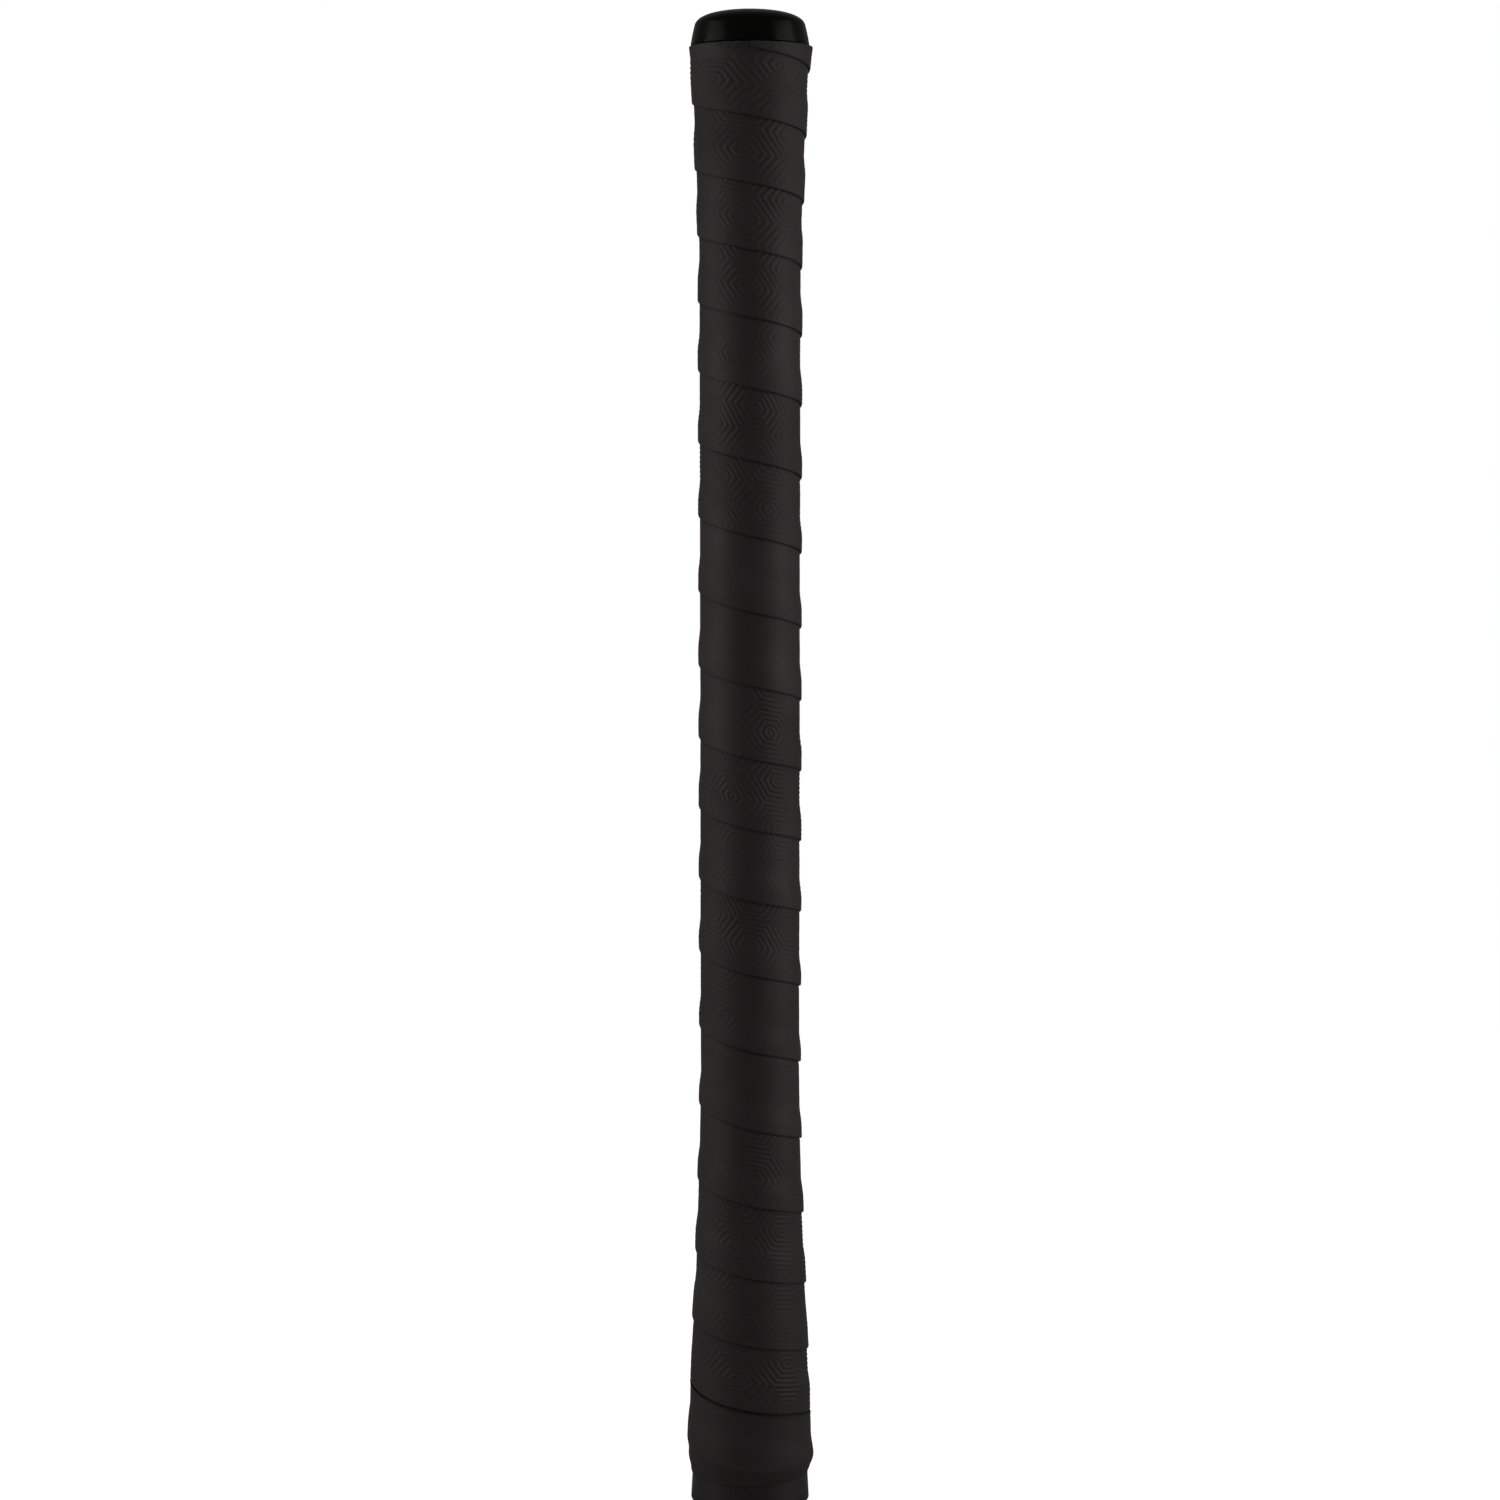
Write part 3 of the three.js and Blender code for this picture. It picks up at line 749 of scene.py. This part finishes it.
# ---- The studio ------------------------------------------------------------------------------------
CAMERA_HEIGHT_OF_AIM = 0.231  # metres up the handle's axis
CAMERA_PITCH = 6.3  # degrees downwards
CAMERA_DISTANCE = 0.958
CAMERA_LENS = 76.6
SOFTBOX_DISTANCE, SOFTBOX_HEIGHT = 1.2, 0.32  # metres from the axis, and up it
SOFTBOX_SIZE = (0.9, 1.5)
DIM_LIGHT = 0.17  # the world's strength for everything but the camera
FLOOR_RADIUS, FLOOR_DROP = 1.4, 0.0003
FLOOR_GLOW = 0.9
FLOOR_FADE_FROM, FLOOR_FADE_TO = 0.25, 1.2


def make_camera():
    data = bpy.data.cameras.new("camera")
    data.lens = CAMERA_LENS
    data.sensor_width = 36
    data.clip_start, data.clip_end = 0.01, 50
    camera = bpy.data.objects.new("camera", data)
    pitch = math.radians(CAMERA_PITCH)
    back = Vector((0, -math.cos(pitch), math.sin(pitch)))
    camera.location = Vector((0, 0, CAMERA_HEIGHT_OF_AIM)) + CAMERA_DISTANCE * back
    camera.rotation_euler = (math.pi / 2 - pitch, 0, 0)
    bpy.context.scene.collection.objects.link(camera)
    bpy.context.scene.camera = camera


def softbox(name, azimuth, power):
    """A lamp aimed at the middle of the handle. Azimuth 0 is the front, and 90 is at +X."""
    data = bpy.data.lights.new(name, "AREA")
    data.shape = "RECTANGLE"
    data.size, data.size_y = SOFTBOX_SIZE
    data.energy = power
    lamp = bpy.data.objects.new(name, data)
    a = math.radians(azimuth)
    lamp.location = (SOFTBOX_DISTANCE * math.sin(a), -SOFTBOX_DISTANCE * math.cos(a), SOFTBOX_HEIGHT)
    aim = Vector((0, 0, CAMERA_HEIGHT_OF_AIM)) - lamp.location
    lamp.rotation_euler = aim.to_track_quat("-Z", "Y").to_euler()
    bpy.context.scene.collection.objects.link(lamp)


def make_world():
    """A white studio for the camera, and a dim even light for everything else."""
    world = bpy.data.worlds.new("studio")
    world.use_nodes = True
    bpy.context.scene.world = world
    tree = world.node_tree
    tree.nodes.clear()
    rays = tree.nodes.new("ShaderNodeLightPath")
    seen, dim = tree.nodes.new("ShaderNodeBackground"), tree.nodes.new("ShaderNodeBackground")
    seen.inputs["Color"].default_value = (1, 1, 1, 1)
    dim.inputs["Color"].default_value = (1, 1, 1, 1)
    dim.inputs["Strength"].default_value = DIM_LIGHT
    mix = tree.nodes.new("ShaderNodeMixShader")
    output = tree.nodes.new("ShaderNodeOutputWorld")
    tree.links.new(rays.outputs["Is Camera Ray"], mix.inputs[0])
    tree.links.new(dim.outputs[0], mix.inputs[1])
    tree.links.new(seen.outputs[0], mix.inputs[2])
    tree.links.new(mix.outputs[0], output.inputs["Surface"])


def make_floor():
    """A pale disc that fades into the white studio away from the handle."""
    steps = 96
    vertices = [(0, 0, 0)]
    for i in range(steps):
        angle = TAU * i / steps
        vertices.append((FLOOR_RADIUS * math.cos(angle), FLOOR_RADIUS * math.sin(angle), 0))
    mesh = bpy.data.meshes.new("floor")
    mesh.from_pydata(vertices, [], [(0, 1 + i, 1 + (i + 1) % steps) for i in range(steps)])
    floor = bpy.data.objects.new("floor", mesh)
    floor.location.z = -FLOOR_DROP
    bpy.context.scene.collection.objects.link(floor)
    paint = Paint("studio floor", Base_Color=(0.5, 0.5, 0.5, 1), Roughness=0.9, Specular_IOR_Level=0.1)
    seen = paint.node("LightPath").outputs["Is Camera Ray"]
    glow = paint.math("MULTIPLY", seen, FLOOR_GLOW)
    paint.set(paint.shader, {"Emission_Color": (1, 1, 1, 1), "Emission_Strength": glow})
    far = paint.node("VectorMath", {0: paint.place()}, operation="LENGTH").outputs["Value"]
    fade = paint.span(far, FLOOR_FADE_FROM, FLOOR_FADE_TO, 0, 1)
    clear = paint.node("BsdfTransparent").outputs[0]
    mix = paint.node("MixShader", {0: fade, 1: paint.shader.outputs[0], 2: clear}).outputs[0]
    output = paint.tree.nodes["Material Output"]
    paint.tree.links.new(mix, output.inputs["Surface"])
    paint.give(floor)


# ---- Assembly --------------------------------------------------------------------------------------
PIECES = (
    # maker, finish, CAD node, material slot, body
    (grip_cover, paint_cover, "grip_cover", "grip_cover", "handle"),
    (cushion_backing, paint_felt, "cushion_backing", "felt", "handle"),
    (adhesive_strip, paint_adhesive, "adhesive_strip", "adhesive", "handle"),
    (finishing_tape, paint_film, "finishing_tape", "vinyl", "handle"),
    (shaft_shell, paint_composite, "shaft_shell", "composite", "handle"),
    (shaft_core, paint_foam, "shaft_core", "foam", "handle"),
    (butt_plug, paint_nylon, "butt_plug", "nylon", "handle"),
    (butt_sleeve, paint_rubber, "butt_flare_sleeve", "sleeve_rubber", "handle"),
    (end_cap, paint_cap, "end_cap", "cap_plastic", "cap"),
)

make_camera()
for maker, painter, node, slot, body in PIECES:
    piece = maker()
    painter(piece)
    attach(piece, body)
    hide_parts(node)

make_world()
make_floor()
softbox("right softbox", 76, 9.3)
softbox("left softbox", -76, 8.6)
bpy.context.scene.view_settings.view_transform = "Standard"
